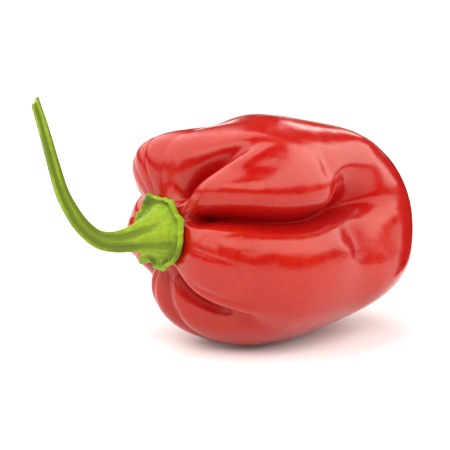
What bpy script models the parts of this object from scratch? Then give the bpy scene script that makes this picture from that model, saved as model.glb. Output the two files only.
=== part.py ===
# Habanero pepper, picked with its stalk and lying on its side.
# Metres, +Z up. +X runs from the stalk towards the blossom end, and the surface it lies on is Z = 0.
# Two pieces: the red pod, and the green calyx with the stalk that grows out of it.

import bmesh
import bpy
import numpy as np

MM = 0.001

# The pod, measured from the centre of its widest ring
SHOULDER_REACH = 22.0 * MM
BLOSSOM_REACH = 31.6 * MM
POD_RADIUS = 21.0 * MM
SQUARENESS = 2.35  # 2 is an ellipse, more is a barrel with fuller shoulders
TAPER = 0.13  # share of its width that the pod loses towards the blossom end
BASIN_DEPTH = 3.4 * MM  # the hollow in the shoulders that the calyx sits in
BASIN_ANGLE = 24.0  # degrees from the pod's axis
DIMPLE_DEPTH = 2.2 * MM  # the hollow at the blossom end
DIMPLE_ANGLE = 15.0

# How the pod lies
POD_CENTRE = (6.98 * MM, 0.28 * MM, 19.9 * MM)
AXIS_PITCH = 7.0  # degrees: the wider shoulders hold the stalk's end up

# Furrows run from the calyx towards the blossom end. Polar angles are measured at the pod's centre
# from the stalk (0) to the blossom end (180), and azimuths round the axis from the top (0), with the
# -Y side at -90 and the side it lies on at 180.
# name: (azimuth at the calyx, at the widest ring and at the blossom end, depth on the shoulder,
#        depth on the body, half width, polar angle where it has faded out)
FURROWS = {
    "near": (-57, -70, -58, 3.8, 3.5, 3.2, 174),
    "near_high": (-2, -25, -38, 4.5, 0.8, 3.0, 90),
    "high": (14, 10, 12, 1.6, 0.6, 2.2, 92),
    "far_high": (76, 66, 56, 3.8, 2.2, 3.0, 172),
    "far": (106, 110, 112, 2.4, 0.9, 2.7, 96),
    "far_low": (134, 150, 156, 4.0, 2.0, 2.9, 170),
    "low": (174, 188, 196, 1.8, 0.7, 2.4, 90),
    "near_low": (-162, -128, -110, 4.2, 0.7, 2.8, 86),
}
# The polar angles of those three azimuths
CALYX_END = 20.0
WIDEST = 85.0
BLOSSOM_END = 160.0
# The polar angles where furrows and pleats come out from under the calyx and reach their full depth
FURROW_START = 13.0
FURROW_FULL = 27.0
# Where the shoulder's depth holds, as a polar angle and a spread
SHOULDER_ANGLE = 34.0
SHOULDER_SPREAD = 24.0
CREASE_ROUNDING = 0.3  # share of the half width over which the bottom of a furrow is rounded

# Short pleats between the furrows, gathered at the calyx
# name: (azimuth, depth, half width, polar angle where it has faded out)
PLEATS = {
    "high_a": (4, 0.8, 0.8, 56),
    "high_b": (30, 0.9, 0.9, 64),
    "high_c": (43, 0.7, 0.8, 56),
    "high_d": (57, 0.8, 0.9, 60),
    "far_a": (90, 0.9, 1.0, 64),
    "far_b": (120, 0.9, 1.0, 60),
    "far_low_a": (149, 1.0, 1.0, 64),
    "far_low_b": (161, 0.8, 0.9, 58),
    "bottom_a": (-174, 0.9, 1.0, 62),
    "near_low_a": (-146, 0.7, 0.9, 60),
    "near_a": (-98, 0.6, 1.0, 60),
    "near_high_a": (-36, 1.1, 1.3, 104),
    "near_high_b": (-47, 0.8, 1.1, 84),
}

# Swells and dents of the skin
# name: (polar angle, azimuth, height, spread along the pod, spread round it)
SWELLS = {
    "shoulder_high": (39, 36, 3.2, 14, 32),
    "saddle_high": (72, 24, -1.7, 17, 32),
    "shoulder_near": (52, -52, 0.5, 24, 18),
    "belly_near": (80, -102, 0.8, 38, 22),
    "shoulder_low": (42, -176, 0.8, 18, 18),
    "shoulder_far": (42, 104, 1.8, 15, 14),
    "waist_far": (50, 131, -1.2, 12, 10),
    "hollow_near": (111, -66, -2.0, 14, 13),
    "fold_near": (108, -88, -0.5, 7, 12),
    "pinch_high": (104, -44, -0.6, 5, 8),
    "hollow_far": (100, 128, -1.3, 20, 14),
    "blossom_high": (138, -8, 1.3, 20, 30),
    "blossom_far": (138, 96, 0.9, 20, 26),
    "blossom_low": (146, -145, -0.2, 20, 30),
}


def smooth_step(edge, far_edge, value):
    share = np.clip((value - edge) / (far_edge - edge), 0.0, 1.0)
    return share * share * (3.0 - 2.0 * share)


def turn_between(azimuth, other):
    """Angle from other to azimuth in degrees, from -180 to 180."""
    return (azimuth - other + 180.0) % 360.0 - 180.0


def crease(offset, half_width):
    """1 at the bottom of a furrow, falling to both sides, with a slightly rounded bottom."""
    away = offset / half_width
    return np.exp(CREASE_ROUNDING - np.sqrt(away * away + CREASE_ROUNDING**2))


def furrow_azimuth(polar, at_calyx, at_widest, at_blossom):
    """Azimuth of a furrow that bends smoothly through its three given azimuths."""
    from_calyx = polar - CALYX_END
    from_widest = polar - WIDEST
    from_blossom = polar - BLOSSOM_END
    first = from_widest * from_blossom / ((CALYX_END - WIDEST) * (CALYX_END - BLOSSOM_END))
    middle = from_calyx * from_blossom / ((WIDEST - CALYX_END) * (WIDEST - BLOSSOM_END))
    last = from_calyx * from_widest / ((BLOSSOM_END - CALYX_END) * (BLOSSOM_END - WIDEST))
    return at_calyx * first + at_widest * middle + at_blossom * last


def pod_reach(polar, azimuth, furrow_share=1.0):
    """Distance from the pod's centre to its skin, for angles in degrees."""
    angle = np.radians(polar)
    along, across = np.cos(angle), np.sin(angle)
    half_length = np.where(along > 0.0, SHOULDER_REACH, BLOSSOM_REACH)
    half_width = POD_RADIUS * (1.0 - TAPER * smooth_step(80.0, 150.0, polar))
    reach = (
        (np.abs(along) / half_length) ** SQUARENESS + (across / half_width) ** SQUARENESS
    ) ** (-1.0 / SQUARENESS)
    reach = reach - BASIN_DEPTH * np.exp(-((polar / BASIN_ANGLE) ** 2))
    reach = reach - DIMPLE_DEPTH * np.exp(-(((180.0 - polar) / DIMPLE_ANGLE) ** 2))
    relief = sum(skin_relief(polar, azimuth, reach * across, furrow_share))
    return reach + relief


def skin_relief(polar, azimuth, ring, furrow_share):
    """Height of each furrow, pleat, swell and dent, on a ring of that radius."""
    widening = 0.3 + 0.7 * np.sin(np.radians(polar))
    start = smooth_step(FURROW_START, FURROW_FULL, polar)
    on_shoulder = np.exp(-(((polar - SHOULDER_ANGLE) / SHOULDER_SPREAD) ** 2))
    for *bends, shoulder, body, half_width, end in FURROWS.values():
        centre = furrow_azimuth(polar, *bends)
        offset = np.radians(turn_between(azimuth, centre)) * ring
        depth = body + (shoulder - body) * on_shoulder
        share = start * (1.0 - smooth_step(end - 30.0, end, polar))
        yield -furrow_share * depth * MM * share * crease(offset, half_width * MM * widening)
    for centre, depth, half_width, end in PLEATS.values():
        offset = np.radians(turn_between(azimuth, centre)) * ring
        share = start * (1.0 - smooth_step(end - 28.0, end, polar))
        yield -furrow_share * depth * MM * share * crease(offset, half_width * MM * widening)
    for centre, middle, height, length, width in SWELLS.values():
        along = (polar - centre) / length
        round_it = turn_between(azimuth, middle) / width
        yield height * MM * np.exp(-(along**2) - round_it**2)


def pod_axes():
    """The pod's own axes in the row frame: up across the pod, far across it, and along to the stalk."""
    pitch = np.radians(AXIS_PITCH)
    to_stalk = np.array((-np.cos(pitch), 0.0, np.sin(pitch)))
    up = np.array((np.sin(pitch), 0.0, np.cos(pitch)))
    return up, np.array((0.0, 1.0, 0.0)), to_stalk


def pod_point(polar, azimuth):
    up, far, to_stalk = pod_axes()
    reach = pod_reach(polar, azimuth)[:, None]
    angle, turn = np.radians(polar)[:, None], np.radians(azimuth)[:, None]
    across = reach * np.sin(angle)
    return (
        np.array(POD_CENTRE)
        + across * (np.cos(turn) * up + np.sin(turn) * far)
        + reach * np.cos(angle) * to_stalk
    )


# The calyx and stalk, by sections from the middle of the underside, out to the rim of the calyx, and
# in again and along the stalk to its cut end. Where a section lies on the pod, its first number is a
# height over the pod's skin, and on the stalk it is the distance from the seat.
# (height or distance, radius, share of the teeth, share that lies on the pod), in millimetres
STEM_SECTIONS = (
    (0.0, 0.0, 0.0, 1.0),
    (0.0, 2.6, 0.0, 1.0),
    (0.0, 5.0, 0.3, 1.0),
    (0.1, 6.3, 0.9, 1.0),
    (0.6, 6.75, 1.0, 1.0),
    (1.15, 6.35, 0.9, 1.0),
    (1.0, 5.6, 0.5, 0.97),
    (1.3, 4.9, 0.2, 0.8),
    (2.5, 4.35, 0.0, 0.35),
    (3.7, 3.7, 0.0, 0.05),
    (5.7, 2.8, 0.0, 0.0),
    (8.4, 2.15, 0.0, 0.0),
    (11.4, 1.75, 0.0, 0.0),
    (14.8, 1.52, 0.0, 0.0),
    (18.4, 1.4, 0.0, 0.0),
    (22.5, 1.28, 0.0, 0.0),
    (27.5, 1.15, 0.0, 0.0),
    (33.0, 1.04, 0.0, 0.0),
    (38.5, 0.93, 0.0, 0.0),
    (42.2, 0.84, 0.0, 0.0),
    (43.2, 0.78, 0.0, 0.0),
    (43.4, 0.5, 0.0, 0.0),
    (43.4, 0.0, 0.0, 0.0),
)
SEAT_GAP = 0.38 * MM  # clear space between the calyx and the pod
BRIDGED_SHARE = 0.4  # how far the calyx dips into the furrows that it spans
CUT_SLANT = 0.9  # the stalk's end is cut aslant: the tip's rise per unit of its width
STALK_RIDGES = 5
RIDGE_AZIMUTH = -58.0  # of the ridge that shows best
RIDGE_HEIGHT = 0.07  # share of the stalk's radius

# The stalk's centreline from its seat in the pod, in millimetres: towards the stalk's end, to the far
# side, and up
STALK_PATH = (
    (0.0, 0.0, 0.0),
    (2.9, 0.0, 0.1),
    (5.7, 0.1, 0.0),
    (8.6, 0.2, -0.2),
    (11.6, 0.5, -0.2),
    (14.6, 0.9, 0.7),
    (17.1, 1.4, 2.9),
    (19.0, 1.9, 5.7),
    (20.8, 2.6, 9.6),
    (22.2, 3.4, 15.2),
    (23.5, 4.2, 21.0),
    (25.1, 5.2, 27.4),
)

# Teeth of the calyx: azimuth, length, rise off the pod, half width, in degrees and millimetres
TEETH = (
    (34, 0.8, 0.8, 13),
    (81, 1.3, 1.0, 13),
    (149, 1.2, 1.0, 12),
    (-165, 0.9, 0.6, 10),
    (-110, 1.1, 0.0, 30),
    (-73, 0.3, 0.0, 12),
    (-24, 0.4, 0.2, 16),
)


def through(stations, values, where):
    """A smooth curve through the values at those stations, read at each place in where."""
    stations, values = np.asarray(stations, float), np.asarray(values, float)
    slopes = np.gradient(values, stations, axis=0)
    i = np.clip(np.searchsorted(stations, where) - 1, 0, len(stations) - 2)
    span = stations[i + 1] - stations[i]
    t = (where - stations[i]) / span
    if values.ndim > 1:
        span, t = span[:, None], t[:, None]
    return (
        (2 * t**3 - 3 * t**2 + 1) * values[i]
        + (t**3 - 2 * t**2 + t) * span * slopes[i]
        + (3 * t**2 - 2 * t**3) * values[i + 1]
        + (t**3 - t**2) * span * slopes[i + 1]
    )


def stalk_frames(distance):
    """Centre, and two directions across the stalk, at each distance along it from the seat."""
    up, far, to_stalk = pod_axes()
    seat = pod_point(np.zeros(1), np.zeros(1))[0]
    points = np.array(STALK_PATH) * (-MM, MM, MM)
    line = through(np.arange(len(points)), points, np.linspace(0.0, len(points) - 1, 400))
    steps = np.linalg.norm(np.diff(line, axis=0), axis=1)
    travelled = np.concatenate(([0.0], np.cumsum(steps)))
    tangents = np.gradient(line, travelled, axis=0)
    tangents /= np.linalg.norm(tangents, axis=1)[:, None]
    across, side = np.empty_like(line), np.empty_like(line)
    carried = up
    for k, tangent in enumerate(tangents):
        carried = carried - tangent * (carried @ tangent)
        carried = carried / np.linalg.norm(carried)
        across[k], side[k] = carried, np.cross(tangent, carried)

    def at_distance(table):
        return np.stack([np.interp(distance, travelled, column) for column in table.T], axis=1)

    return seat + at_distance(line), at_distance(across), at_distance(side)


def teeth_at(azimuth):
    """(extra radius, rise) of the calyx's rim at each azimuth."""
    longer, rise = np.full_like(azimuth, -0.55 * MM), np.zeros_like(azimuth)
    for centre, length, lift, half_width in TEETH:
        share = np.exp(-((turn_between(azimuth, centre) / half_width) ** 2))
        longer = longer + length * MM * share
        rise = rise + lift * MM * share
    return longer, rise


def on_pod(radius, azimuth, height):
    """A point that far from the pod's axis, and that high over the pod's skin, along the axis."""
    polar = np.degrees(np.arcsin(np.clip(radius / SHOULDER_REACH, 0.0, 0.9)))
    for _ in range(6):
        reach = pod_reach(polar, azimuth, BRIDGED_SHARE)
        polar = np.degrees(np.arcsin(np.clip(radius / reach, 0.0, 0.9)))
    up, far, to_stalk = pod_axes()
    turn = np.radians(azimuth)[:, None]
    along = pod_reach(polar, azimuth, BRIDGED_SHARE) * np.cos(np.radians(polar)) + height
    return (
        np.array(POD_CENTRE)
        + radius[:, None] * (np.cos(turn) * up + np.sin(turn) * far)
        + along[:, None] * to_stalk
    )


def stem_point(share, azimuth):
    """Skin of the calyx and stalk: share is 0 under the calyx and 1 at the cut end."""
    sections = np.array(STEM_SECTIONS)
    place = share * (len(sections) - 1)
    distance, radius, tooth, lying = through(np.arange(len(sections)), sections, place).T
    distance, radius = distance * MM, np.maximum(radius, 0.0) * MM
    tooth, lying = np.clip(tooth, 0.0, 1.0), np.clip(lying, 0.0, 1.0)
    longer, rise = teeth_at(azimuth)
    turn = np.radians(azimuth)
    on_stalk = smooth_step(1.0 * MM, 5.0 * MM, distance)
    round_it = STALK_RIDGES * np.radians(azimuth - RIDGE_AZIMUTH)
    ridge = RIDGE_HEIGHT * on_stalk * (np.cos(round_it) + 0.3 * np.cos(2.0 * round_it))
    free_radius = radius * (1.0 + ridge)
    centre, across, side = stalk_frames(distance)
    spoke = np.cos(turn)[:, None] * across + np.sin(turn)[:, None] * side
    free = centre + free_radius[:, None] * spoke
    draped = on_pod(radius + tooth * longer, azimuth, SEAT_GAP + distance + tooth * rise)
    point = free + lying[:, None] * (draped - free)
    at_tip = smooth_step(42.0 * MM, 43.4 * MM, distance)
    tangent = np.cross(across, side)
    slant = CUT_SLANT * at_tip * free_radius * np.cos(turn)
    return point + slant[:, None] * tangent


def new_material(name, colour, roughness):
    material = bpy.data.materials.new(name)
    material.use_nodes = True
    shader = material.node_tree.nodes["Principled BSDF"]
    shader.inputs["Base Color"].default_value = (*colour, 1.0)
    shader.inputs["Roughness"].default_value = roughness
    shader.inputs["Metallic"].default_value = 0.0
    return material


def shaped_sphere(name, segments, rings, crowding, place, collection, material):
    """A sphere whose points are moved by place(polar, azimuth). Crowding draws its rings to the poles."""
    shape = bmesh.new()
    bmesh.ops.create_uvsphere(shape, u_segments=segments, v_segments=rings, radius=1.0)
    points = np.array([vertex.co for vertex in shape.verts])
    polar = np.degrees(np.arccos(np.clip(points[:, 2], -1.0, 1.0)))
    polar = polar - np.degrees(crowding) * np.sin(2.0 * np.radians(polar)) / 2.0
    azimuth = np.degrees(np.arctan2(points[:, 1], points[:, 0]))
    for vertex, point in zip(shape.verts, place(polar, azimuth)):
        vertex.co = point
    mesh = bpy.data.meshes.new(name)
    shape.to_mesh(mesh)
    shape.free()
    mesh.shade_smooth()
    mesh.materials.append(material)
    piece = bpy.data.objects.new(name, mesh)
    collection.objects.link(piece)
    return piece


def cut_flat_spot(piece):
    """Trims the skin at Z = 0, where the pod lies on its underside."""
    shape = bmesh.new()
    shape.from_mesh(piece.data)
    everything = shape.verts[:] + shape.edges[:] + shape.faces[:]
    cut = bmesh.ops.bisect_plane(
        shape,
        geom=everything,
        dist=1e-6,
        plane_co=(0.0, 0.0, 0.0),
        plane_no=(0.0, 0.0, -1.0),
        clear_outer=True,
    )
    edges = [item for item in cut["geom_cut"] if isinstance(item, bmesh.types.BMEdge)]
    bmesh.ops.holes_fill(shape, edges=edges, sides=0)
    shape.to_mesh(piece.data)
    shape.free()


def make_pod(collection):
    skin = new_material("pod_skin", (0.58, 0.012, 0.010), 0.22)
    pod = shaped_sphere("pod", 96, 54, 0.3, pod_point, collection, skin)
    cut_flat_spot(pod)


def make_stem(collection):
    def place(polar, azimuth):
        return stem_point(1.0 - polar / 180.0, azimuth)

    green = new_material("stem_green", (0.25, 0.37, 0.035), 0.5)
    shaped_sphere("stem", 40, 66, 0.0, place, collection, green)


def main():
    for old in list(bpy.data.objects):
        bpy.data.objects.remove(old)
    collection = bpy.data.collections.new("habanero_pepper")
    bpy.context.scene.collection.children.link(collection)
    make_pod(collection)
    make_stem(collection)


main()
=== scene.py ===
import bpy
import numpy as np
from mathutils import Matrix, Vector


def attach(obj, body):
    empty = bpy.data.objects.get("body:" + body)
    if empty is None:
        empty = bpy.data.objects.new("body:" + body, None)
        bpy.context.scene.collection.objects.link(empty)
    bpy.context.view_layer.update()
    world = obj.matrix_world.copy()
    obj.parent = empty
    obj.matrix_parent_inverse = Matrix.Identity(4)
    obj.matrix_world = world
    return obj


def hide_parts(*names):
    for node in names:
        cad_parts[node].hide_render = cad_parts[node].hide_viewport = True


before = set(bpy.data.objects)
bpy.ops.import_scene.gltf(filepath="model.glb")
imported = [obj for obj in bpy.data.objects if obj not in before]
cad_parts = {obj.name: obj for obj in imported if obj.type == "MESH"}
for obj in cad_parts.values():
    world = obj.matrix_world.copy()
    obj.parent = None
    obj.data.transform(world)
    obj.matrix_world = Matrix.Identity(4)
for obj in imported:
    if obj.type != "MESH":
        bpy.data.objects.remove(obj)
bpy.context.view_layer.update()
mm = 0.001


# Small helpers for shaping
def deselectAll():
    if bpy.context.object and bpy.context.object.mode != "OBJECT":
        bpy.ops.object.mode_set(mode="OBJECT")
    bpy.ops.object.select_all(action="DESELECT")


def smoothStep(start, end, value):
    share = np.clip((value - start) / (end - start), 0.0, 1.0)
    return share * share * (3.0 - 2.0 * share)


def bell(offset, halfWidth):
    return np.exp(-((offset / halfWidth) ** 2))


def turnBetween(azimuth, other):
    return (azimuth - other + 180.0) % 360.0 - 180.0


def curveThrough(stations, values, where):
    # cubic through the values, read at each place in where
    stations, values = np.asarray(stations, float), np.asarray(values, float)
    slopes = np.gradient(values, stations, axis=0)
    i = np.clip(np.searchsorted(stations, where) - 1, 0, len(stations) - 2)
    span = stations[i + 1] - stations[i]
    t = (where - stations[i]) / span
    if values.ndim > 1:
        span, t = span[:, None], t[:, None]
    start = (2 * t**3 - 3 * t**2 + 1) * values[i] + (t**3 - 2 * t**2 + t) * span * slopes[i]
    end = (3 * t**2 - 2 * t**3) * values[i + 1] + (t**3 - t**2) * span * slopes[i + 1]
    return start + end


def roundBall(name, segments, rings, subdivisions):
    # a finely divided ball, made from a primitive
    deselectAll()
    bpy.ops.mesh.primitive_uv_sphere_add(segments=segments, ring_count=rings, radius=1.0, location=(0, 0, 0))
    ball = bpy.context.object
    ball.name = name
    finer = ball.modifiers.new("finer", "SUBSURF")
    finer.subdivision_type = "SIMPLE"
    finer.levels = finer.render_levels = subdivisions
    bpy.ops.object.modifier_apply(modifier=finer.name)
    return ball


def ballAngles(ball, crowding):
    # polar angle and azimuth of each point of a new ball, its rings drawn towards the poles
    co = np.empty(len(ball.data.vertices) * 3)
    ball.data.vertices.foreach_get("co", co)
    co = co.reshape(-1, 3)
    co /= np.linalg.norm(co, axis=1)[:, None]
    polar = np.degrees(np.arccos(np.clip(co[:, 2], -1.0, 1.0)))
    polar -= np.degrees(crowding) * np.sin(2.0 * np.radians(polar)) / 2.0
    return polar, np.degrees(np.arctan2(co[:, 1], co[:, 0]))


def movePoints(piece, points):
    piece.data.vertices.foreach_set("co", np.asarray(points, np.float32).ravel())
    piece.data.update()


def turnOutAndSmooth(piece):
    deselectAll()
    piece.select_set(True)
    bpy.ops.object.mode_set(mode="EDIT")
    bpy.ops.mesh.select_all(action="SELECT")
    bpy.ops.mesh.normals_make_consistent(inside=False)
    bpy.ops.object.mode_set(mode="OBJECT")
    bpy.ops.object.shade_smooth()


def keepShare(piece, name, values):
    # a number on each point, which the material reads
    layer = piece.data.attributes.new(name, "FLOAT", "POINT")
    layer.data.foreach_set("value", np.asarray(values, np.float32))


def keepPlace(piece, name, values):
    # a place on each point, which the material's patterns follow
    layer = piece.data.attributes.new(name, "FLOAT_VECTOR", "POINT")
    layer.data.foreach_set("vector", np.asarray(values, np.float32).ravel())


# Small helpers for materials and light
def newMaterial(name, finish):
    # finish: values of the shader's own sockets that are the same all over
    material = bpy.data.materials.new(name)
    material.use_nodes = True
    shader = material.node_tree.nodes["Principled BSDF"]
    for socket, value in finish.items():
        shader.inputs[socket].default_value = value
    return material, material.node_tree, shader


def addNode(tree, kind, inputs=None, **settings):
    # a node with its settings, and its inputs as plain values or as sockets to link from
    node = tree.nodes.new("ShaderNode" + kind)
    for name, value in settings.items():
        setattr(node, name, value)
    for name, value in (inputs or {}).items():
        if isinstance(value, bpy.types.NodeSocket):
            tree.links.new(value, node.inputs[name])
        else:
            node.inputs[name].default_value = value
    return node


def calc(tree, operation, first, second=0.0, third=0.0):
    return addNode(tree, "Math", {0: first, 1: second, 2: third}, operation=operation).outputs[0]


def fade(tree, value, start, end, low=0.0, high=1.0):
    inputs = {"Value": value, "From Min": start, "From Max": end, "To Min": low, "To Max": high}
    return addNode(tree, "MapRange", inputs, interpolation_type="SMOOTHSTEP").outputs["Result"]


def blend(tree, share, first, second):
    inputs = {"Factor": share, 6: first, 7: second}
    return addNode(tree, "Mix", inputs, data_type="RGBA").outputs[2]


noiseRange = (0.3, 0.7)  # plain noise hardly leaves it


def noise(tree, place, scale, detail=2.0, roughness=0.5):
    # smooth noise, spread to fill 0 to 1
    inputs = {"Vector": place, "Scale": scale, "Detail": detail, "Roughness": roughness}
    value = addNode(tree, "TexNoise", inputs, noise_dimensions="3D").outputs["Fac"]
    return fade(tree, value, *noiseRange)


def raised(tree, height, distance, normal=None):
    inputs = {"Height": height, "Distance": distance, "Strength": 1.0}
    if normal:
        inputs["Normal"] = normal
    return addNode(tree, "Bump", inputs).outputs["Normal"]


def readShare(tree, name):
    return addNode(tree, "Attribute", attribute_name=name).outputs["Fac"]


# The pod
pod = {
    "segments": 96,
    "rings": 62,
    "subdivisions": 2,
    # how far the mesh is drawn to the poles and into the furrows, and how near a furrow
    "poleCrowding": 0.3,
    "furrowCrowding": 0.5,
    "crowdedAngle": 9.0,
    "centre": (6.98, 0.28, 19.9),
    "axisPitch": 7.0,
    "shoulderReach": 22.0,
    "blossomReach": 32.2,
    "radius": 21.0,
    "squareness": 2.35,
    "taper": 0.13,
    "taperRange": (80.0, 150.0),
    "basinDepth": 3.4,
    "basinAngle": 24.0,
    "dimpleDepth": 2.8,
    "dimpleAngle": 14.0,
    # the scar where the flower was: height and half width of its stub, the polar angles where its brown
    # starts and is full, the puckers round it as counts with their turns, their height, and how far out
    # they are highest
    "stubHeight": 0.5,
    "stubAngle": 1.9,
    "scarRange": (175.5, 178.5),
    "puckers": ((5, 20.0), (7, 75.0), (11, 140.0)),
    "puckerHeight": 0.035,
    "puckerAngle": 7.0,
    # azimuths at the calyx, the widest ring and the blossom end; depths on the shoulder and the body; half
    # widths of the upper and the lower bank; depth of the narrow trench at the bottom, as a share; polar
    # angle where the furrow has faded out
    "furrows": {
        "near": ((-59.5, -73, -43), (4.0, 4.2), (3.9, 3.3), 0.75, 152),
        "nearHigh": ((-19, -31, -40), (4.8, 0.4), (3.8, 2.4), 0.3, 88),
        "high": ((14, 10, 12), (0.45, 0.3), (2.8, 2.8), 0.0, 92),
        "farHigh": ((76, 66, 56), (3.8, 2.2), (3.0, 3.0), 0.4, 172),
        "far": ((106, 110, 112), (1.5, 0.9), (2.7, 2.7), 0.1, 96),
        "farLow": ((134, 150, 156), (4.0, 2.0), (2.9, 2.9), 0.4, 170),
        "low": ((174, 188, 196), (1.8, 0.7), (2.4, 2.4), 0.2, 90),
        "nearLow": ((-158, -123, -106), (4.6, 0.8), (1.9, 5.5), 0.3, 80),
    },
    # polar angles of the three azimuths, where furrows start and are full, over how much they fade out,
    # where the shoulder's depth counts most and its spread
    "furrowStations": (20.0, 85.0, 160.0),
    "furrowStart": (13.0, 27.0),
    "furrowFade": 30.0,
    "shoulderAngle": 34.0,
    "shoulderSpread": 24.0,
    "trenchWidth": 1.9,
    # widths at the pod's two ends, as a share of those at its middle
    "narrowest": 0.3,
    # how round the furrows' bottoms are, and between which polar angles they get as round as at the blossom
    "creaseRounding": 0.16,
    "blossomRounding": 1.2,
    "roundingRange": (108.0, 142.0),
    # a furrow as deep as this looks wholly sunk
    "fullDepth": 4.0,
    # azimuth, depth, half width, polar angle where it has faded out
    "pleats": {
        "highA": (4, 0.1, 1.2, 56),
        "highB": (30, 0.3, 1.0, 64),
        "highC": (43, 0.25, 1.0, 56),
        "highD": (57, 0.3, 1.0, 60),
        "farA": (92, 0.15, 1.0, 64),
        "farB": (120, 0.5, 1.0, 60),
        "farLowA": (149, 0.6, 1.0, 64),
        "farLowB": (161, 0.5, 0.9, 58),
        "bottomA": (-174, 0.5, 1.0, 62),
        "nearLowA": (-146, 0.4, 0.9, 60),
        "nearA": (-98, 0.15, 1.0, 60),
    },
    "pleatFade": 28.0,
    # polar angle, azimuth, height, spread along the pod, spread round it
    "swells": {
        "shoulderHigh": (39, 36, 3.2, 14, 32),
        "saddleHigh": (72, 24, -1.7, 17, 32),
        "shoulderNear": (52, -52, 0.5, 24, 18),
        "bellyNear": (80, -102, 0.8, 38, 22),
        "shoulderLow": (42, -176, 0.8, 18, 18),
        "shoulderFar": (43, 106, 1.5, 15, 14),
        "waistFar": (50, 131, -1.2, 12, 10),
        "dipFar": (34, 93, -1.1, 9, 13),
        "hollowNear": (124, -57, -3.0, 13, 10),
        "crownHigh": (67, -25, 0.9, 13, 12),
        "hollowCorner": (120, -83, -0.5, 9, 10),
        "pinchHigh": (104, -44, -0.4, 6, 8),
        "hollowFar": (100, 128, -1.3, 20, 14),
        "blossomHigh": (138, -8, 1.3, 20, 30),
        "blossomFar": (138, 96, 0.9, 20, 26),
        "blossomLow": (146, -145, -0.2, 20, 30),
        "faceNear": (80, -84, -0.3, 32, 14),
        "bellyLow": (92, -120, 0.9, 38, 18),
        "cornerLow": (139, -121, 1.3, 17, 21),
        "cornerNear": (140, -108, 0.9, 13, 13),
        "cornerHigh": (136, -76, -1.2, 17, 24),
        "cornerTop": (133, -26, 1.4, 14, 18),
    },
    # swells whose skin gets painted shade, darker and redder as deep in a furrow
    "shadedHollows": ("hollowNear", "hollowCorner"),
    # soft folds of the skin: places along each one as polar angle and azimuth, its height (below zero where
    # it is sunk) and its half width
    "folds": {
        "ridgeNear": (
            ((20, -28), (31, -34), (39, -43), (46, -50.5), (56, -55), (66, -57), (84, -58.5)), 0.5, 2.5
        ),
        "valleyNear": (((44, -33), (52, -39), (58, -42), (66, -44), (80, -43)), -0.2, 1.7),
        "ridgeMiddle": (((46, -25), (54, -30), (62, -33), (72, -35), (88, -36)), 0.12, 2.2),
        "foldCorner": (((104, -76), (112, -81), (119, -87), (120, -94), (117, -103)), -0.5, 3.0),
        "hollowLine": (((130, -58), (138, -58), (146, -58), (154, -58)), -0.45, 1.6),
        "underFold": (((58, -133), (70, -134), (84, -133)), -0.25, 1.8),
        "pinchLow": (((50, -77), (53, -85), (54, -97)), -0.22, 2.6),
        "ridgeLow": (((59, -78), (62, -86), (62, -98)), 0.14, 2.2),
        "pinchHigh": (((62, -46), (60, -51), (57, -58)), -0.08, 1.4),
        "nearLowTwin": (((27, -134), (40, -127), (54, -122), (66, -120)), -0.3, 0.8),
    },
    # steps along each fold, the share of its length over which each end fades, and how many half widths of
    # it are worked out to each side
    "foldSteps": 90,
    "foldEnds": 0.3,
    "foldMargin": 2.6,
    "look": {
        "red": (0.41, 0.005, 0.004, 1),
        "warmRed": (0.46, 0.012, 0.004, 1),
        "deepRed": (0.33, 0.003, 0.004, 1),
        "furrowShadeRed": (0.36, 0.003, 0.003, 1),
        "scar": (0.1, 0.032, 0.012, 1),
        "gloss": (1.0, 0.93, 0.78, 1),
        "shadeAndScarGloss": (0.5, 0.18, 0.14, 1),
        "roughness": (0.15, 0.22),
        "furrowRoughness": 0.5,
        # how sunk the skin is where the furrows' painted shade in the colour and in the gloss tint, and
        # their roughness, start and are full
        "furrowShadeRange": (0.25, 1.1),
        "furrowShadedGlossRange": (0.5, 1.2),
        "furrowRoughRange": (0.6, 1.2),
        # patterns a metre, and how far each one stands off the skin, in metres
        "blotches": 75.0,
        "mottling": 900.0,
        "mottlingShare": 0.45,
        "waves": 120.0,
        "waveHeight": 0.00014,
        "ripples": 520.0,
        "rippleHeight": 0.000012,
        "pores": 2600.0,
        "poreHeight": 0.000006,
        # how much the mottling moves the scar's edge, and where the scar starts and is full
        "scarUnevenness": 0.4,
        "scarEdge": (0.4, 0.9),
    },
}


def podAxes():
    pitch = np.radians(pod["axisPitch"])
    up = np.array((np.sin(pitch), 0.0, np.cos(pitch)))
    toStalk = np.array((-np.cos(pitch), 0.0, np.sin(pitch)))
    return up, np.array((0.0, 1.0, 0.0)), toStalk


def podPoint(reach, polar, azimuth):
    up, far, toStalk = podAxes()
    angle, turn = np.radians(polar)[:, None], np.radians(azimuth)[:, None]
    across = reach[:, None] * np.sin(angle)
    spoke = np.cos(turn) * up + np.sin(turn) * far
    return np.array(pod["centre"]) * mm + across * spoke + reach[:, None] * np.cos(angle) * toStalk


def furrowAzimuth(polar, bends):
    # parabola through the furrow's three azimuths
    calyxEnd, widest, blossomEnd = pod["furrowStations"]
    a, b, c = polar - calyxEnd, polar - widest, polar - blossomEnd
    first = b * c / ((calyxEnd - widest) * (calyxEnd - blossomEnd))
    middle = a * c / ((widest - calyxEnd) * (widest - blossomEnd))
    last = a * b / ((blossomEnd - calyxEnd) * (blossomEnd - widest))
    return bends[0] * first + bends[1] * middle + bends[2] * last


def creaseShape(offset, halfWidth, rounding):
    return np.exp(rounding - np.sqrt((offset / halfWidth) ** 2 + rounding**2))


def swellShape(swell, polar, azimuth):
    centre, middle, _, length, width = swell
    return bell(polar - centre, length) * bell(turnBetween(azimuth, middle), width)


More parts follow.
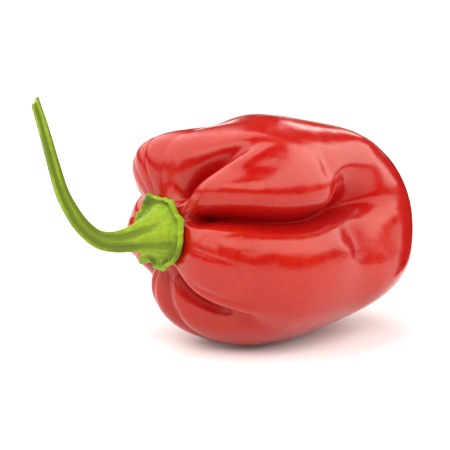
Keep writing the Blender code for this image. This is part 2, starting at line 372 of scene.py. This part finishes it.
def plainReach(polar, azimuth):
    # distance from the pod's centre to the squarish round body, with its basin and its blossom end
    along, across = np.cos(np.radians(polar)), np.sin(np.radians(polar))
    power = pod["squareness"]
    halfLength = np.where(along > 0.0, pod["shoulderReach"], pod["blossomReach"])
    halfWidth = pod["radius"] * (1.0 - pod["taper"] * smoothStep(*pod["taperRange"], polar))
    reach = ((np.abs(along) / halfLength) ** power + (across / halfWidth) ** power) ** (-1.0 / power)
    fromTip = 180.0 - polar
    reach = reach - pod["basinDepth"] * bell(polar, pod["basinAngle"])
    reach = reach - pod["dimpleDepth"] * bell(fromTip, pod["dimpleAngle"])
    reach = reach + pod["stubHeight"] * bell(fromTip, pod["stubAngle"])
    near = (fromTip / pod["puckerAngle"]) ** 2
    pucker = sum(np.cos(np.radians(count * azimuth + turn)) for count, turn in pod["puckers"])
    return reach + pod["puckerHeight"] * pucker * near * np.exp(1.0 - near)


def podReach(polar, azimuth, furrowShare=1.0):
    # distance from the pod's centre to its skin, and how deep in a furrow or pleat each point is
    plain = plainReach(polar, azimuth)
    across = np.sin(np.radians(polar))
    ring = plain * across
    widening = pod["narrowest"] + (1.0 - pod["narrowest"]) * across
    start = smoothStep(*pod["furrowStart"], polar)
    onShoulder = bell(polar - pod["shoulderAngle"], pod["shoulderSpread"])
    smoother = smoothStep(*pod["roundingRange"], polar)
    rounding = pod["creaseRounding"] + smoother * (pod["blossomRounding"] - pod["creaseRounding"])
    sunk = np.zeros_like(polar)
    for bends, (shoulder, body), (upper, lower), trench, end in pod["furrows"].values():
        offset = np.radians(turnBetween(azimuth, furrowAzimuth(polar, bends))) * ring
        depth = body + (shoulder - body) * onShoulder
        depth = depth * start * (1.0 - smoothStep(end - pod["furrowFade"], end, polar))
        banks = creaseShape(offset, np.where(offset > 0.0, upper, lower) * widening, rounding)
        bottom = bell(offset, pod["trenchWidth"] * widening)
        sunk += depth * banks + trench * depth * (1.0 - smoother) * bottom
    for centre, depth, width, end in pod["pleats"].values():
        offset = np.radians(turnBetween(azimuth, centre)) * ring
        depth = depth * start * (1.0 - smoothStep(end - pod["pleatFade"], end, polar))
        sunk += depth * creaseShape(offset, width * widening, rounding)
    swollen = sum(swell[2] * swellShape(swell, polar, azimuth) for swell in pod["swells"].values())
    return (plain - furrowShare * sunk + swollen) * mm, sunk


def crowdIntoFurrows(polar, azimuth):
    # more of the points stand in the furrows, whose bottoms are sharp
    for bends, _, _, _, end in pod["furrows"].values():
        offset = turnBetween(azimuth, furrowAzimuth(polar, bends))
        share = pod["furrowCrowding"] * (1.0 - smoothStep(end - pod["furrowFade"], end, polar))
        azimuth = azimuth - share * offset * bell(offset, pod["crowdedAngle"])
    return azimuth


def foldRelief(polar, azimuth, reach):
    # height of the folds at each point, by its distance from the nearest place on each fold's line
    place = podPoint(reach, polar, azimuth)
    relief = np.zeros_like(polar)
    for stations, height, width in pod["folds"].values():
        along = np.linspace(0.0, len(stations) - 1.0, pod["foldSteps"])
        line = curveThrough(np.arange(len(stations)), stations, along)
        linePlace = podPoint(podReach(line[:, 0], line[:, 1])[0], line[:, 0], line[:, 1])
        margin = pod["foldMargin"] * width * mm
        low, high = linePlace.min(axis=0) - margin, linePlace.max(axis=0) + margin
        close = np.flatnonzero(((place > low) & (place < high)).all(axis=1))
        away = np.linalg.norm(place[close, None, :] - linePlace[None, :, :], axis=2)
        share = along[away.argmin(axis=1)] / along[-1]
        ends = smoothStep(0.0, pod["foldEnds"], share) * smoothStep(1.0, 1.0 - pod["foldEnds"], share)
        relief[close] += height * ends * bell(away.min(axis=1), width * mm)
    return relief * mm


def makePod():
    skin = roundBall("podSkin", pod["segments"], pod["rings"], pod["subdivisions"])
    polar, azimuth = ballAngles(skin, pod["poleCrowding"])
    azimuth = crowdIntoFurrows(polar, azimuth)
    reach, sunk = podReach(polar, azimuth)
    folded = foldRelief(polar, azimuth, reach)
    movePoints(skin, podPoint(reach + folded, polar, azimuth))
    # how far each point is in the swells with painted shade, more where a fold sinks the skin and less where
    # one raises it
    hollowShade = sum(swellShape(pod["swells"][name], polar, azimuth) for name in pod["shadedHollows"])
    keepShare(skin, "sunk", sunk / pod["fullDepth"])
    keepShare(skin, "hollowShade", np.clip(hollowShade - folded / mm, 0.0, 1.0))
    keepShare(skin, "blossom", smoothStep(*pod["scarRange"], polar))
    # the flat spot that it lies on
    bpy.ops.object.mode_set(mode="EDIT")
    bpy.ops.mesh.select_all(action="SELECT")
    bpy.ops.mesh.bisect(
        plane_co=(0, 0, 0), plane_no=(0, 0, 1), use_fill=True, clear_inner=True, threshold=1e-6
    )
    turnOutAndSmooth(skin)
    skin.data.materials.append(podMaterial())
    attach(skin, "root")
    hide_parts("pod")
    print("pod skin:", len(skin.data.polygons), "faces")


def podMaterial():
    look = pod["look"]
    material, tree, shader = newMaterial("waxyRedSkin", {})
    place = addNode(tree, "TexCoord").outputs["Object"]
    sunk, hollowShade = readShare(tree, "sunk"), readShare(tree, "hollowShade")
    mottling = noise(tree, place, look["mottling"], detail=3.0, roughness=0.6)
    uneven = calc(tree, "SUBTRACT", mottling, 0.5)
    scar = calc(tree, "MULTIPLY_ADD", uneven, look["scarUnevenness"], readShare(tree, "blossom"))
    scar = fade(tree, scar, *look["scarEdge"])
    # colour: two reds in large blotches, fine mottling, painted shade as deeper red in the furrows and the
    # deep hollows, the brown scar
    colour = blend(tree, noise(tree, place, look["blotches"]), look["red"], look["warmRed"])
    colour = blend(tree, calc(tree, "MULTIPLY", mottling, look["mottlingShare"]), colour, look["deepRed"])
    # painted shade: the skin darker and redder the more sunk it is in a furrow
    colour = blend(tree, fade(tree, sunk, *look["furrowShadeRange"]), colour, look["furrowShadeRed"])
    # painted shade: the deep hollows darker and redder
    colour = blend(tree, hollowShade, colour, look["furrowShadeRed"])
    colour = blend(tree, scar, colour, look["scar"])
    tree.links.new(colour, shader.inputs["Base Color"])
    # gloss: waxy; painted shade and painted red reflection make it dimmer and redder deep in the furrows and
    # hollows; dull on the scar
    dimmed = calc(tree, "MAXIMUM", hollowShade, fade(tree, sunk, *look["furrowShadedGlossRange"]))
    tint = blend(tree, calc(tree, "MAXIMUM", dimmed, scar), look["gloss"], look["shadeAndScarGloss"])
    tree.links.new(tint, shader.inputs["Specular Tint"])
    shine = fade(tree, noise(tree, place, look["ripples"]), 0.0, 1.0, *look["roughness"])
    dull = calc(tree, "MAXIMUM", fade(tree, sunk, *look["furrowRoughRange"]), scar)
    toDull = calc(tree, "SUBTRACT", look["furrowRoughness"], shine)
    tree.links.new(calc(tree, "MULTIPLY_ADD", dull, toDull, shine), shader.inputs["Roughness"])
    # relief: soft waves, ripples and pores
    bump = raised(tree, noise(tree, place, look["waves"], detail=0.0), look["waveHeight"])
    bump = raised(tree, noise(tree, place, look["ripples"], detail=1.0), look["rippleHeight"], bump)
    bump = raised(tree, noise(tree, place, look["pores"], detail=1.0), look["poreHeight"], bump)
    tree.links.new(bump, shader.inputs["Normal"])
    return material


# The calyx and stalk
stem = {
    "segments": 40,
    "rings": 110,
    "subdivisions": 2,
    # height over the pod's skin, or distance along the stalk from its seat; radius; share of the teeth;
    # share that lies on the pod
    "sections": (
        (0.0, 0.0, 0.0, 1.0),
        (0.0, 2.6, 0.0, 1.0),
        (0.0, 5.0, 0.3, 1.0),
        (0.1, 6.3, 0.9, 1.0),
        (0.6, 6.75, 1.0, 1.0),
        (1.25, 6.35, 0.9, 1.0),
        (0.75, 5.55, 0.5, 0.97),
        (1.3, 4.8, 0.2, 0.8),
        (2.5, 4.35, 0.0, 0.35),
        (3.7, 3.7, 0.0, 0.05),
        (5.7, 2.8, 0.0, 0.0),
        (8.4, 2.15, 0.0, 0.0),
        (11.4, 1.75, 0.0, 0.0),
        (14.8, 1.52, 0.0, 0.0),
        (18.4, 1.4, 0.0, 0.0),
        (22.5, 1.28, 0.0, 0.0),
        (27.5, 1.15, 0.0, 0.0),
        (33.0, 1.04, 0.0, 0.0),
        (38.5, 0.93, 0.0, 0.0),
        (42.2, 0.84, 0.0, 0.0),
        (43.2, 0.78, 0.0, 0.0),
        (43.4, 0.5, 0.0, 0.0),
        (43.4, 0.0, 0.0, 0.0),
    ),
    # the stalk's middle line: towards its end, to the far side, up
    "path": (
        (0.0, 0.0, 0.0),
        (2.9, 0.0, 0.1),
        (5.7, 0.1, 0.0),
        (8.6, 0.2, -0.2),
        (11.6, 0.5, -0.2),
        (14.6, 0.9, 0.7),
        (17.1, 1.4, 2.9),
        (19.0, 1.9, 5.7),
        (20.8, 2.6, 9.6),
        (22.2, 3.4, 15.2),
        (23.5, 4.2, 21.0),
        (25.1, 5.2, 27.4),
    ),
    "pathSteps": 400,
    # gap to the pod's skin, the share of the pod's furrows that the calyx follows, the sine of the polar
    # angle that it never passes, and the rounds that find its seat
    "seatGap": 0.3,
    "bridgedShare": 0.4,
    "seatLimit": 0.9,
    "seatRounds": 7,
    # the cut end: its slant as a share of the radius, the distances along the stalk where that starts and
    # is full, and the sections where its pale colour does
    "cutSlant": 0.9,
    "slantRange": (42.0, 43.4),
    "cutSections": (20.9, 21.6),
    # how much shorter the rim is between the teeth, and each tooth's azimuth, length, rise off the pod and
    # half width
    "rimInset": 0.55,
    "teeth": (
        (34, 0.8, 0.8, 13),
        (81, 1.3, 1.0, 13),
        (149, 1.2, 1.0, 12),
        (-165, 0.9, 0.6, 10),
        (-110, 1.1, 0.0, 30),
        (-73, 0.3, 0.0, 12),
        (-24, 0.4, 0.2, 16),
    ),
    # small bumps of the rim: how many round it, height, turn
    "rimBumps": ((9, 0.17, 20.0), (14, 0.15, 75.0), (23, 0.1, 10.0)),
    # folds of the flare just inside the rim: how many round it, height, turn; section they stand on and
    # half width in sections
    "flareFolds": ((5, 0.22, 12.0), (8, 0.24, 50.0), (13, 0.16, 5.0)),
    "flareSections": (6.9, 0.9),
    # azimuth, section it stands on, height, half width in degrees, half width in sections
    "knuckles": (
        (-90, 7.0, 0.55, 9, 0.6),
        (-117, 6.7, 0.5, 8, 0.6),
        (-140, 7.2, 0.45, 10, 0.7),
        (-62, 7.3, 0.3, 8, 0.6),
        (-20, 6.9, 0.35, 10, 0.6),
        (22, 7.1, 0.4, 10, 0.7),
        (70, 6.9, 0.4, 11, 0.7),
    ),
    # ribs along the stalk: how many, azimuth of one, height as a share of the radius, how much of it is
    # twice as fine, and where they start and are full
    "ribs": 5,
    "ribAzimuth": -80.0,
    "ribHeight": 0.1,
    "fineRibShare": 0.3,
    "ribStart": (1.0, 5.0),
    # light and dark green: light of the flare, how much of the ribs' contrast it loses and where it ends;
    # azimuth, half width and strength of the painted shade on the flare's underside; where the stalk's
    # middle starts and ends, and how much darker it is
    "flareLight": 0.75,
    "flareEvenness": 0.4,
    "flareEnd": (13.0, 3.0),
    "undersideAzimuth": (-125.0, 34.0),
    "undersideShade": 0.35,
    "middleStart": (5.0, 12.0),
    "middleEnd": (40.0, 30.0),
    "middleShade": 0.3,
    # the groove inside the rim, darkened with painted shade: section and half width in sections, strength of
    # the shade, and its unevenness as a count round it, a share and a turn
    "grooveSections": (6.0, 0.7),
    "grooveShade": 0.9,
    "grooveUnevenness": (3, 0.35, 57.3),
    # the fibres' pattern: radius that it goes round at, and how much it is stretched along the stalk
    "fibreRadius": 2.0,
    "fibreStretch": 0.12,
    "look": {
        "light": (0.25, 0.38, 0.013, 1),
        "green": (0.13, 0.205, 0.01, 1),
        "dark": (0.075, 0.12, 0.006, 1),
        "cut": (0.62, 0.63, 0.3, 1),
        "finish": {"Specular Tint": (1.0, 1.0, 0.4, 1), "Specular IOR Level": 0.4},
        "roughness": (0.38, 0.55),
        # where on the ribs the light green and the dark green start and are full, and how strong the dark is
        "lightRange": (0.4, 1.1),
        "darkRange": (0.5, -0.1),
        "darkShare": 0.8,
        # patterns a metre, how much each one shows in the colour, and how far it stands off, in metres
        "fibres": 900.0,
        "fibreShare": 0.7,
        "fibreHeight": 0.00009,
        "grain": 1500.0,
        "grainShare": 0.3,
        "grainHeight": 0.00003,
    },
}


def stalkFrames(distance):
    # places on the stalk's middle line, and the two directions across it
    up, _, toStalk = podAxes()
    none = np.zeros(1)
    seat = podPoint(podReach(none, none)[0], none, none)[0]
    points = np.array(stem["path"]) * (-mm, mm, mm)
    steps = np.linspace(0.0, len(points) - 1, stem["pathSteps"])
    line = curveThrough(np.arange(len(points)), points, steps)
    travelled = np.concatenate(([0.0], np.cumsum(np.linalg.norm(np.diff(line, axis=0), axis=1))))
    tangents = np.gradient(line, travelled, axis=0)
    tangents /= np.linalg.norm(tangents, axis=1)[:, None]
    across, side = np.empty_like(line), np.empty_like(line)
    carried = up
    for k, tangent in enumerate(tangents):
        carried = carried - tangent * (carried @ tangent)
        carried = carried / np.linalg.norm(carried)
        across[k], side[k] = carried, np.cross(tangent, carried)

    def atDistance(table):
        return np.stack([np.interp(distance, travelled, column) for column in table.T], axis=1)

    return seat + atDistance(line), atDistance(across), atDistance(side)


def stepAlong(name, distance):
    start, end = stem[name]
    return smoothStep(start * mm, end * mm, distance)


def drapedOnPod(radius, azimuth, height):
    # places over the pod's skin at that distance from its axis, found nearer with each round
    reach = pod["shoulderReach"] * mm
    for _ in range(stem["seatRounds"]):
        polar = np.degrees(np.arcsin(np.clip(radius / reach, 0.0, stem["seatLimit"])))
        reach = podReach(polar, azimuth, stem["bridgedShare"])[0]
    return podPoint(reach, polar, azimuth) + height[:, None] * podAxes()[2]


def rimShape(azimuth):
    # how much longer the calyx is at each azimuth, and how far its rim rises off the pod
    longer, rise = np.full_like(azimuth, -stem["rimInset"]), np.zeros_like(azimuth)
    for centre, length, lift, width in stem["teeth"]:
        share = bell(turnBetween(azimuth, centre), width)
        longer += length * share
        rise += lift * share
    for count, height, start in stem["rimBumps"]:
        wave = height * np.cos(count * np.radians(azimuth - start))
        longer += wave
        rise += wave
    return longer, rise


def flareRelief(section, azimuth):
    # folds and knuckles of the flare
    relief = np.zeros_like(azimuth)
    onFlare = bell(section - stem["flareSections"][0], stem["flareSections"][1])
    for count, height, start in stem["flareFolds"]:
        relief += height * onFlare * np.cos(count * np.radians(azimuth - start))
    for centre, middle, height, width, spread in stem["knuckles"]:
        relief += height * bell(turnBetween(azimuth, centre), width) * bell(section - middle, spread)
    return relief * mm


def stalkLight(section, distance, azimuth, ribTurn):
    # how light a green each point has: lighter on the ribs and the flare, darker in the stalk's middle, with
    # painted shade on the flare's underside and in the groove inside the rim
    onRib = 0.5 + 0.5 * np.cos(ribTurn)
    onFlare = stepAlong("flareEnd", distance)
    underside, undersideWidth = stem["undersideAzimuth"]
    below = bell(turnBetween(azimuth, underside), undersideWidth)
    onMiddle = stepAlong("middleStart", distance) * stepAlong("middleEnd", distance)
    flareLight = stem["flareLight"] - stem["flareEvenness"] * onRib - stem["undersideShade"] * below
    lightness = (onRib + onFlare * flareLight) * (1.0 - stem["middleShade"] * onMiddle)
    count, share, turn = stem["grooveUnevenness"]
    inGroove = bell(section - stem["grooveSections"][0], stem["grooveSections"][1])
    inGroove = inGroove * (1.0 - share + share * np.cos(np.radians(count * azimuth + turn)))
    return lightness * (1.0 - stem["grooveShade"] * inGroove)


def fibrePlace(section, turn):
    # places that the fibres' pattern is read at: round the stalk, and stretched along it
    profile = np.array(stem["sections"])[:, :2]
    travelled = np.cumsum(np.hypot(*np.diff(profile, axis=0, prepend=0.0).T))
    along = np.interp(section, np.arange(len(profile)), travelled) * stem["fibreStretch"]
    radius = stem["fibreRadius"]
    return np.stack((radius * np.cos(turn), radius * np.sin(turn), along), axis=1) * mm


def makeStem():
    stalk = roundBall("calyxAndStalk", stem["segments"], stem["rings"], stem["subdivisions"])
    polar, azimuth = ballAngles(stalk, 0.0)
    turn = np.radians(azimuth)
    sections = np.array(stem["sections"])
    section = (1.0 - polar / 180.0) * (len(sections) - 1)
    distance, radius, tooth, lying = curveThrough(np.arange(len(sections)), sections, section).T
    distance, radius = distance * mm, np.maximum(radius, 0.0) * mm
    tooth, lying = np.clip(tooth, 0.0, 1.0), np.clip(lying, 0.0, 1.0)
    distance = distance + flareRelief(section, azimuth)
    # the free stalk, with its ribs
    ribTurn = stem["ribs"] * np.radians(azimuth - stem["ribAzimuth"])
    rib = np.cos(ribTurn) + stem["fineRibShare"] * np.cos(2.0 * ribTurn)
    rib = rib * stem["ribHeight"] * stepAlong("ribStart", distance)
    freeRadius = radius * (1.0 + rib)
    centre, across, side = stalkFrames(distance)
    spoke = np.cos(turn)[:, None] * across + np.sin(turn)[:, None] * side
    free = centre + freeRadius[:, None] * spoke
    # the calyx, lying on the pod
    longer, rise = rimShape(azimuth)
    height = (stem["seatGap"] + tooth * rise) * mm + distance
    draped = drapedOnPod(radius + tooth * longer * mm, azimuth, height)
    points = free + lying[:, None] * (draped - free)
    slant = stem["cutSlant"] * stepAlong("slantRange", distance) * freeRadius * np.cos(turn)
    points += slant[:, None] * np.cross(across, side)
    movePoints(stalk, points)
    keepShare(stalk, "ribToneAndShade", stalkLight(section, distance, azimuth, ribTurn))
    keepPlace(stalk, "fibre", fibrePlace(section, turn))
    keepShare(stalk, "cutEnd", smoothStep(*stem["cutSections"], section))
    turnOutAndSmooth(stalk)
    stalk.data.materials.append(stemMaterial())
    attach(stalk, "root")
    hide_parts("stem")
    print("calyx and stalk:", len(stalk.data.polygons), "faces")


def stemMaterial():
    look = stem["look"]
    material, tree, shader = newMaterial("freshGreenStalk", look["finish"])
    place = addNode(tree, "TexCoord").outputs["Object"]
    stretched = addNode(tree, "Attribute", attribute_name="fibre").outputs["Vector"]
    fibres = noise(tree, stretched, look["fibres"], roughness=0.6)
    grain = noise(tree, place, look["grain"], roughness=0.6)
    # colour: light ribs and dark grooves, painted shade on the flare's underside and in the groove inside
    # the rim, all broken up by the fibres; fine grain, the pale cut
    streak = calc(tree, "SUBTRACT", fibres, 0.5)
    ribToneAndShade = calc(tree, "MULTIPLY_ADD", streak, look["fibreShare"], readShare(tree, "ribToneAndShade"))
    colour = blend(tree, fade(tree, ribToneAndShade, *look["lightRange"]), look["green"], look["light"])
    dark = fade(tree, ribToneAndShade, *look["darkRange"], 0.0, look["darkShare"])
    colour = blend(tree, dark, colour, look["dark"])
    colour = blend(tree, calc(tree, "MULTIPLY", grain, look["grainShare"]), colour, look["dark"])
    colour = blend(tree, readShare(tree, "cutEnd"), colour, look["cut"])
    tree.links.new(colour, shader.inputs["Base Color"])
    tree.links.new(fade(tree, grain, 0.0, 1.0, *look["roughness"]), shader.inputs["Roughness"])
    bump = raised(tree, fibres, look["fibreHeight"])
    bump = raised(tree, grain, look["grainHeight"], bump)
    tree.links.new(bump, shader.inputs["Normal"])
    return material


# Camera: where it stands as seen from the pod, the width of its picture at the pod, and how far right of
# the pod's centre and above it the picture's middle is
camera = {
    "azimuth": -35.0,
    "elevation": 15.0,
    "distance": 2.0,  # metres
    "fieldWidth": 80.0,
    "aim": (-5.0, 0.6),
    "sensorWidth": 36.0,
}


def viewAxes():
    # to the picture's right, up in the picture, and back from the pod to the camera
    turn, rise = np.radians(camera["azimuth"]), np.radians(camera["elevation"])
    back = Vector((np.sin(turn) * np.cos(rise), -np.cos(turn) * np.cos(rise), np.sin(rise)))
    right = Vector((np.cos(turn), np.sin(turn), 0.0))
    return right, back.cross(right), back


def makeCamera():
    right, up, back = viewAxes()
    lens = bpy.data.cameras.new("camera")
    lens.sensor_width = camera["sensorWidth"]
    lens.lens = lens.sensor_width * camera["distance"] / (camera["fieldWidth"] * mm)
    view = bpy.data.objects.new("camera", lens)
    bpy.context.scene.collection.objects.link(view)
    toRight, toUp = camera["aim"]
    aim = Vector(pod["centre"]) * mm + right * toRight * mm + up * toUp * mm
    view.matrix_world = Matrix((right, up, back)).transposed().to_4x4()
    view.location = aim + back * camera["distance"]
    bpy.context.scene.camera = view
    bpy.context.scene.view_settings.view_transform = "Standard"
    print("camera: placed")


floorSettings = {
    "size": 6.0,  # metres
    "finish": {
        "Base Color": (0.85, 0.85, 0.86, 1),
        "Roughness": 0.8,
        "Specular IOR Level": 0.1,
        "Emission Color": (1, 1, 1, 1),
        "Emission Strength": 0.06,
    },
}


def makeFloor():
    deselectAll()
    bpy.ops.mesh.primitive_plane_add(size=floorSettings["size"], location=(0, 0, 0))
    floor = bpy.context.object
    floor.name = "floor"
    floor.data.materials.append(newMaterial("paleFloor", floorSettings["finish"])[0])
    print("floor: laid")


# A black card just outside the picture's right edge, seen only in reflections: how far right of the pod's
# centre it stands, where it starts and ends behind that centre, and its height
cardSettings = {
    "right": 44.0,
    "nearEnd": 10.0,
    "farEnd": 200.0,
    "height": 30.0,
    "finish": {"Base Color": (0.01, 0.01, 0.01, 1), "Specular IOR Level": 0.0},
}


def makeCard():
    right, _, back = viewAxes()
    away = Vector((-back.x, -back.y, 0.0)).normalized()
    deselectAll()
    bpy.ops.mesh.primitive_plane_add(size=1.0, location=(0, 0, 0))
    card = bpy.context.object
    card.name = "blackCard"
    start = Vector(pod["centre"]) * mm + right * cardSettings["right"] * mm
    corners = []
    for vertex in card.data.vertices:
        distance = cardSettings["nearEnd" if vertex.co.x < 0.0 else "farEnd"]
        corner = start + away * distance * mm
        corner.z = 0.0 if vertex.co.y < 0.0 else cardSettings["height"] * mm
        corners.append(corner)
    movePoints(card, corners)
    card.data.materials.append(newMaterial("blackCard", cardSettings["finish"])[0])
    card.visible_camera = card.visible_diffuse = card.visible_shadow = False
    print("black card: stood up")


# The light is a dim room with soft white panels round the object. Each panel has the azimuths of its left
# and right edges, the elevations of its lower edge at the left and right ends, those of its upper edge, the
# softness of its edges and its brightness. Azimuths go from the camera (0) to its right (90), its back
# (180) and its left (-90).
lightSettings = {
    "colour": (1.0, 0.985, 0.95, 1),
    "room": 0.05,
    "panels": {
        "front": (-45.0, 45.0, 32.0, 26.0, 60.0, 62.0, 4.0, 3.3),
        "right": (45.0, 126.0, 25.0, 2.0, 62.0, 46.0, 3.0, 3.3),
        "farRight": (126.0, 142.0, 12.0, 28.0, 46.0, 43.0, 3.0, 3.3),
        "left": (-170.0, -45.0, 14.0, 14.0, 100.0, 100.0, 8.0, 2.7),
        "back": (-215.0, -170.0, 50.0, 50.0, 100.0, 100.0, 8.0, 2.7),
        "rim": (162.5, 169.3, 14.0, 14.0, 22.5, 22.5, 1.0, 4.5),
    },
}


def makeLight():
    world = bpy.data.worlds.new("lightTent")
    bpy.context.scene.world = world
    world.use_nodes = True
    tree = world.node_tree
    right, _, back = viewAxes()
    direction = addNode(tree, "TexCoord").outputs["Generated"]
    forward = Vector((back.x, back.y, 0.0)).normalized()
    toCamera = addNode(tree, "VectorMath", {0: direction, 1: forward}, operation="DOT_PRODUCT")
    toRight = addNode(tree, "VectorMath", {0: direction, 1: right}, operation="DOT_PRODUCT")
    turn = calc(tree, "ARCTAN2", toRight.outputs["Value"], toCamera.outputs["Value"])
    height = addNode(tree, "SeparateXYZ", {0: direction}).outputs["Z"]
    azimuth = calc(tree, "DEGREES", turn)
    elevation = calc(tree, "DEGREES", calc(tree, "ARCSINE", height))
    strength = lightSettings["room"]
    panels = lightSettings["panels"].values()
    for start, end, lowStart, lowEnd, highStart, highEnd, soft, brightness in panels:
        middle, halfWidth = (start + end) / 2.0, (end - start) / 2.0
        offMiddle = calc(tree, "WRAP", calc(tree, "SUBTRACT", azimuth, middle), 180.0, -180.0)
        inside = fade(tree, calc(tree, "ABSOLUTE", offMiddle), halfWidth + soft, halfWidth - soft)
        for edgeStart, edgeEnd, softness in ((lowStart, lowEnd, soft), (highStart, highEnd, -soft)):
            slope, level = (edgeEnd - edgeStart) / (end - start), (edgeStart + edgeEnd) / 2.0
            edge = calc(tree, "MULTIPLY_ADD", offMiddle, slope, level)
            within = fade(tree, calc(tree, "SUBTRACT", elevation, edge), -softness, softness)
            inside = calc(tree, "MULTIPLY", inside, within)
        strength = calc(tree, "MULTIPLY_ADD", inside, brightness, strength)
    tree.links.new(strength, tree.nodes["Background"].inputs["Strength"])
    tree.nodes["Background"].inputs["Color"].default_value = lightSettings["colour"]
    print("light:", len(panels), "panels")


makePod()
makeStem()
makeFloor()
makeCard()
makeLight()
makeCamera()
